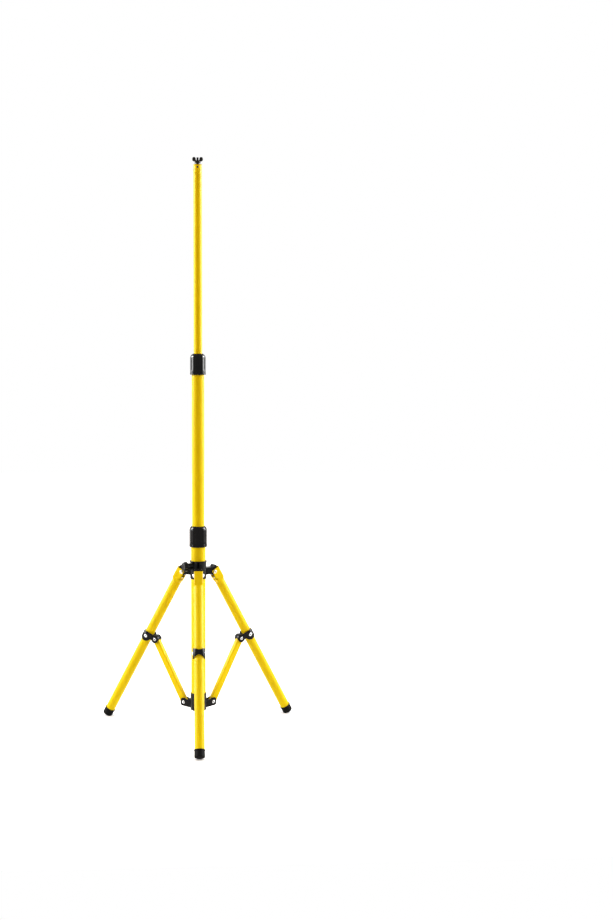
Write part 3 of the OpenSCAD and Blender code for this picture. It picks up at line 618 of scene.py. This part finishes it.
# Clamp of the hub: a black lobed knob moulded on a steel screw that runs in a brass insert and presses
# a pad on the mast.
turned_brass = finish(
    "turned_brass", ((0.55, 0.38, 0.13), (0.72, 0.52, 0.20)), patch=200.0, rough=(0.22, 0.36),
    streak=(200.0, 200.0, 200.0), grain=1300.0, depth=0.00003, metal=1.0)
coat(turned_brass, "hub_insert")
coat(bright_zinc, "clamp_screw")
knob_lobes, lobe_depth, knob_foot, screw_r = 8, 1.5, 33.6, 3.0
knob_profile = rounded([
    (screw_r, knob_foot), (5.0, knob_foot, 0.4), (5.6, 33.0, 0.5), (10.5, 33.0, 1.5), (13.0, 35.5, 2.0),
    (13.0, 43.2, 2.8), (9.4, 46.0, 2.2), (6.2, 45.4, 1.5), (0, 45.2)], closed=False, steps=7)
knob_profile = np.concatenate([[(0.0, knob_foot)], knob_profile])
knob_grid = turned(knob_profile, 160)
lobe_angle = np.arange(160) * 2 * np.pi / 160
lobe = (0.5 - 0.5 * np.cos(knob_lobes * lobe_angle)) ** 1.6
knob_r, knob_out = knob_profile[:, :1], knob_profile[:, 1:]
lobe_share = np.clip((knob_r - 7.5) / 4.5, 0, 1) * np.clip((46.2 - knob_out) / 2.0, 0.35, 1)
knob_shrink = 1 - lobe_depth * lobe_share * lobe[None, :] / np.maximum(knob_r, 1.0)
knob_grid[..., :2] *= knob_shrink[..., None]
knob = skin("clamp_grip", (placed(knob_grid, tilt=90.0, up=knob_z, turn=knob_turn), "columns"))
dress(knob, black_moulding, "clamp_knob", "clamp_knob")


# Legs: round yellow steel tubes. The upper end is pressed square and open to the inside, as a fork over
# the hub's lug, with a relief cut below the opening.
spread, leg_d, leg_wall, leg_offset, leg_l, foot_sole = 29.6, 25.0, 1.5, 5.0, 478.785, 3.0
fork_w, fork_top, fork_foot, fork_close, fork_half_turn = 23.0, 6.0, -12.0, 5.0, 0.75
cut_high, cut_low, cut_columns = -21.0, -23.2, 11
press_top, press_foot, square_power = -24.0, -34.0, 9.0
leg_end = foot_sole - leg_l


def leg_patches():
    """Wall of a leg as r(v) = (|cos v / a|^p + |sin v / b|^p)^(-1/p) around its axis, in patches.

    p goes from 2, round, to 9, square, over the pressed length. The opening of the fork is the part
    of the turn that is left out; its lower end closes along a half ellipse. The patches leave out the
    relief cut below it, which runs across the inner side and into both cheeks."""
    above_cut = np.linspace(fork_top, cut_high, 36)
    below_cut = np.linspace(cut_low, press_foot - 2.0, 24)
    rows = np.concatenate([above_cut, below_cut, [-50.0, -140.0, -260.0, -380.0, leg_end]])
    press = np.clip((rows - press_foot) / (press_top - press_foot), 0, 1)
    press = (press * press * (3 - 2 * press))[:, None]
    power = 2.0 + (square_power - 2.0) * press ** 2
    a, b = leg_d / 2, leg_d / 2 + (fork_w - leg_d) / 2 * press
    closing = np.clip((fork_foot - rows) / fork_close, 0, 1)
    open_half = fork_half_turn * np.sqrt(1 - closing ** 2)
    cheek_end = 2.0
    cheeks = np.linspace(-cheek_end, cheek_end, 101)
    inner = np.linspace(0, 1, 11)[None, 1:] * (np.pi - open_half - cheek_end)[:, None] + cheek_end
    v = np.concatenate([-inner[:, ::-1], np.repeat(cheeks[None, :], len(rows), axis=0), inner], axis=1)
    c, s = np.cos(v), np.sin(v)
    r = (np.abs(c / a) ** power + np.abs(s / b) ** power) ** (-1 / power)
    grid = np.stack([r * c + leg_offset, r * s, rows[:, None] + 0 * v], axis=-1)
    cut = len(above_cut) - 1
    return [grid[:cut + 1], grid[cut:cut + 2, cut_columns:-cut_columns], grid[cut + 1:]]


def on_leg(points, turn):
    """Points in a leg's own frame, with the hinge at its origin, put on the leg at this turn."""
    return placed(points, tilt=-spread, out=hinge_r, up=hinge_z, turn=turn)


def walled(piece, thickness, edge):
    """Sheet given its wall inwards, with its rims eased."""
    wall = piece.modifiers.new("wall", "SOLIDIFY")
    wall.thickness = thickness * 0.001
    wall.offset = -1.0
    wall.use_even_offset = True
    rim = piece.modifiers.new("rim", "BEVEL")
    rim.width = edge * 0.001
    rim.segments = 2
    rim.limit_method = "ANGLE"
    rim.angle_limit = np.radians(50)
    rim.harden_normals = True


for k, turn in enumerate(leg_turns, 1):
    leg = skin(f"leg_tube_{k}", *[(on_leg(patch, turn), "none") for patch in leg_patches()])
    dress(leg, yellow_enamel, f"leg_{k}", f"leg_{k}")
    walled(leg, leg_wall, 0.35)


# Hinge rivets of the legs: hollow and zinc plated like those of the runner, with taller heads outside
# the walls of the fork.
head_d = 10.5
hinge_rivet = hollow_rivet(pin_d, grip=fork_w, head=head_d, rise=3.4, hole=1.9)
for k, turn in enumerate(leg_turns, 1):
    rivet = skin(f"hinge_rivet_{k}", (on_leg(hinge_rivet, turn), "columns"))
    dress(rivet, bright_zinc, f"leg_{k}", f"hinge_pin_{k}")


# Feet: caps of black rubber pushed on the lower ends of the legs, with a lip at the top edge and the
# bottom worn flat on the floor.
foot_rubber = finish(
    "foot_rubber", ((0.003, 0.003, 0.003), (0.007, 0.007, 0.007)), patch=70.0, rough=(0.50, 0.70),
    streak=(160.0, 160.0, 160.0), grain=900.0, depth=0.00012, mirror=0.06)
foot_r, foot_lip_r, foot_l = 13.5, 14.2, 21.0
foot_profile = rounded([
    (0, 0), (foot_r, 0, 3.4), (13.2, 17.4, 0.8), (foot_lip_r, 18.4, 0.5), (foot_lip_r, 20.4, 0.7),
    (13.2, foot_l, 0.3), (leg_d / 2, foot_l, 0.2), (leg_d / 2, foot_sole, 0.5), (0, foot_sole)],
    closed=False)
foot_cap = turned(foot_profile, 80) + np.array([leg_offset, 0.0, -leg_l])
for k, turn in enumerate(leg_turns, 1):
    cap = on_leg(foot_cap, turn)
    cap[..., 2] = np.maximum(cap[..., 2], 0.0)
    dress(skin(f"foot_cap_{k}", (cap, "columns")), foot_rubber, f"leg_{k}", f"foot_{k}")


# Leg brackets: a black strap bent around each leg. Its two cheeks carry the strut pin under a small
# hood, and the band across the front of the leg is waisted like a bow tie.
def strap(path, low, high, thickness, edge, steps=4):
    """Bent strip: its section, a rounded rectangle, is carried along a path in the (x, y) plane.

    The section is thickness deep, behind the path, and reaches from low to high at each point."""
    along = np.gradient(path, axis=0)
    along /= np.linalg.norm(along, axis=1, keepdims=True)
    outward = np.stack([along[:, 1], -along[:, 0]], axis=1)
    ease = np.minimum(edge, (high - low) / 2)[:, None]
    a = np.linspace(0, np.pi / 2, steps)
    falling, rising = edge * (1 - np.sin(a)), edge * (1 - np.cos(a))
    depth = np.concatenate([rising, thickness - falling, thickness - rising, falling])
    near_top = np.concatenate([1 - np.sin(a), 1 - np.cos(a)])
    top = high[:, None] - ease * near_top[None, :]
    bottom = low[:, None] + ease * near_top[None, :]
    up = np.concatenate([top, bottom], axis=1)
    flat = path[:, None, :] - outward[:, None, :] * depth[None, :, None]
    return np.concatenate([flat, up[..., None]], axis=-1)


brace_station, brace_inset, rivet_station = 206.8, 20.5, 211.1
bracket_w, bracket_t, pin_w, lobe_r, leg_lobe_r = 29.0, 1.6, 16.8, 10.5, 13.9
bracket_high, bracket_step, waist_half = 10.4, 2.4, 6.4
cheek_plan = rounded([
    (-brace_inset - lobe_r, pin_w / 2), (lobe_r - brace_inset - 1, pin_w / 2, 9.0),
    (leg_offset - 3, bracket_w / 2, 9.0), (leg_offset, bracket_w / 2)], closed=False, steps=12)
plan_step = np.linalg.norm(np.diff(cheek_plan, axis=0), axis=1)
plan_run = np.concatenate([[0], np.cumsum(plan_step)])
even = np.linspace(0, 1, 90)
plan_at = plan_run[-1] * (0.3 * (1 - np.cos(np.pi * even)) / 2 + 0.7 * even)
cheek = np.stack([np.interp(plan_at, plan_run, cheek_plan[:, i]) for i in (0, 1)], axis=1)
cheek_x = cheek[:, 0]
pin_lobe = np.sqrt(np.clip(lobe_r ** 2 - (cheek_x + brace_inset) ** 2, 0, None))
leg_lobe = np.sqrt(np.clip(leg_lobe_r ** 2 - (cheek_x - leg_offset) ** 2, 0, None))
near_leg = np.clip((cheek_x - leg_offset + 13.4) / 1.2, 0, 1)
near_leg = near_leg ** 2 * (3 - 2 * near_leg)
past_pin = cheek_x > -brace_inset
web_high = np.where(past_pin, bracket_high + bracket_step * near_leg - rivet_station, -np.inf)
web_low = np.where(past_pin, np.minimum(-4.0, -leg_lobe) - rivet_station, np.inf)
cheek_high = np.maximum(pin_lobe - brace_station, web_high)
cheek_low = np.minimum(-pin_lobe - brace_station, web_low)
band_a = np.linspace(np.pi / 2, -np.pi / 2, 41)[1:-1]
band_r = bracket_w / 2
band = np.stack([leg_offset + band_r * np.cos(band_a), band_r * np.sin(band_a)], axis=1)
band_side = np.abs(np.sin(band_a)) ** 1.4
waist_top, waist_foot = waist_half - rivet_station, -waist_half - rivet_station
band_high = waist_top + (cheek_high[-1] - waist_top) * band_side
band_low = waist_foot + (cheek_low[-1] - waist_foot) * band_side
bracket_strap = strap(
    np.concatenate([cheek, band, cheek[::-1] * np.array([1.0, -1.0])]),
    np.concatenate([cheek_low, band_low, cheek_low[::-1]]),
    np.concatenate([cheek_high, band_high, cheek_high[::-1]]), bracket_t, 0.5)
pin_place = np.array([-brace_inset, 0.0, -brace_station])
spacer = turned(rounded([(3.1, 6.5, 0.2), (8.6, 6.5, 0.4), (8.6, 8.0), (3.1, 8.0)]), 56)
spacer = spacer[..., [0, 2, 1]] + pin_place
hood_t, hood_gap = 1.4, 0.8
hood_a = np.radians(np.linspace(172, 50, 28))
hood_x, hood_z = lobe_r * np.cos(hood_a) - brace_inset, lobe_r * np.sin(hood_a) - brace_station
hood_root = [(-11.0, bracket_high - 0.2 - rivet_station), (-8.2, bracket_high - rivet_station)]
hood_rim = np.concatenate([np.stack([hood_x, hood_z], axis=1), hood_root])
hood_along = np.gradient(hood_rim, axis=0)
hood_along /= np.linalg.norm(hood_along, axis=1, keepdims=True)
hood_inside = hood_rim + hood_t * np.stack([hood_along[:, 1], -hood_along[:, 0]], axis=1)
hood_outline = np.concatenate([hood_rim, hood_inside[::-1]])
hood = slab(hood_outline, hood_gap - pin_w / 2, pin_w / 2 - hood_gap, 0.3)
bracket_shells = (
    (bracket_strap, "columns capped"), (hood, "columns capped"), (spacer, "both"),
    (spacer * np.array([1.0, -1.0, 1.0]), "both"))
rivet_place = np.array([leg_offset, 0.0, -rivet_station])
leg_rivet = hollow_rivet(5.0, grip=bracket_w, head=head_d, rise=2.8, hole=1.8) + rivet_place
strut_rivet = hollow_rivet(pin_d, grip=pin_w, head=head_d, rise=2.2, hole=1.8) + pin_place
for k, turn in enumerate(leg_turns, 1):
    bracket = skin(f"leg_bracket_{k}", *[(on_leg(shell, turn), wrap) for shell, wrap in bracket_shells])
    dress(bracket, black_moulding, f"leg_{k}", f"bracket_{k}")
    for name, rivet, node in (
            ("leg_rivet", leg_rivet, "bracket_rivet"), ("strut_rivet", strut_rivet, "strut_pin")):
        piece = skin(f"{name}_{k}", (on_leg(rivet, turn), "columns"))
        dress(piece, bright_zinc, f"leg_{k}", f"{node}_{k}")


# Struts: yellow sheet steel folded into a channel with round ends. Each is pinned in its leg bracket
# and held between the runner's ears by their rivet.
strut_w, strut_wall, strut_l, strut_lean, fold_r = 17.0, 1.4, 183.45, 28.602, 2.4
brace_r, brace_z = 128.8225, 229.0626
side_x = np.linspace(strut_w / 2, fold_r - strut_w / 2, 26)
side_line = np.stack([side_x, np.full(26, strut_t / 2)], axis=1)
fold_a = np.linspace(np.pi / 2, np.pi, 8)[1:]
fold_centre = np.array([fold_r - strut_w / 2, strut_t / 2 - fold_r])
fold = fold_centre + fold_r * np.stack([np.cos(fold_a), np.sin(fold_a)], axis=1)
half_path = np.concatenate([side_line, fold])
channel_path = np.concatenate([half_path, half_path[::-1] * np.array([1.0, -1.0])])
end_round = np.sqrt(np.clip((strut_w / 2) ** 2 - channel_path[:, 0] ** 2, 0, None))
channel = strap(channel_path, -strut_l - end_round, end_round, strut_wall, 0.4)
for k, turn in enumerate(leg_turns, 1):
    strut_grid = placed(channel, tilt=strut_lean, out=brace_r, up=brace_z, turn=turn)
    strut = skin(f"strut_channel_{k}", (strut_grid, "columns capped"))
    dress(strut, yellow_enamel, f"strut_{k}", f"strut_{k}")
